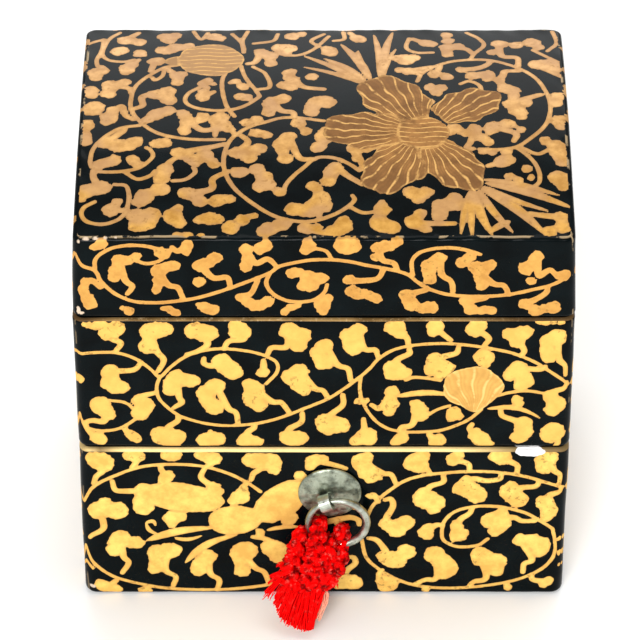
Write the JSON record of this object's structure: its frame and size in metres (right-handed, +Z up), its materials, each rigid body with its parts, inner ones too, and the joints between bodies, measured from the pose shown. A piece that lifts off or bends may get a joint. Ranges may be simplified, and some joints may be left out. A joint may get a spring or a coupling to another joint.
{
  "type": "stacked lacquered box",
  "caption": "Small black lacquered box of stacked open tiers under a shallow arched lid, painted with a gold scroll, with a ring pull and a red silk tassel on its front.",
  "frame": {"origin": "centre of the base tier's underside, on the surface that the box stands on", "axes": "+Z up through the stack, +X to the right along the front, the front with the ring pull faces -Y"},
  "size_m": [0.1, 0.0835, 0.0985],
  "materials": {
    "black_lacquer": "blue-black gloss lacquer on wood, painted with a gold scroll of leaves and flowers, worn and chipped at some edges",
    "aged_metal": "dull grey hammered metal with a worn surface",
    "red_silk": "saturated red silk cord, plaited, with a cut fringe"
  },
  "bodies": {
    "box": {"base_tier": "black_lacquer", "middle_tier": "black_lacquer", "lid": "black_lacquer", "ring_plate": "aged_metal", "ring_eye": "aged_metal"},
    "pull": {"pull_ring": "aged_metal", "tassel": "red_silk"}
  },
  "joints": [
    {"name": "ring_swing", "type": "hinge", "parent": "box", "child": "pull", "pos_m": [0.00045, -0.03835, 0.0289], "axis": [-0.9205, 0, -0.3907], "range_deg": [0, 150]}
  ]
}
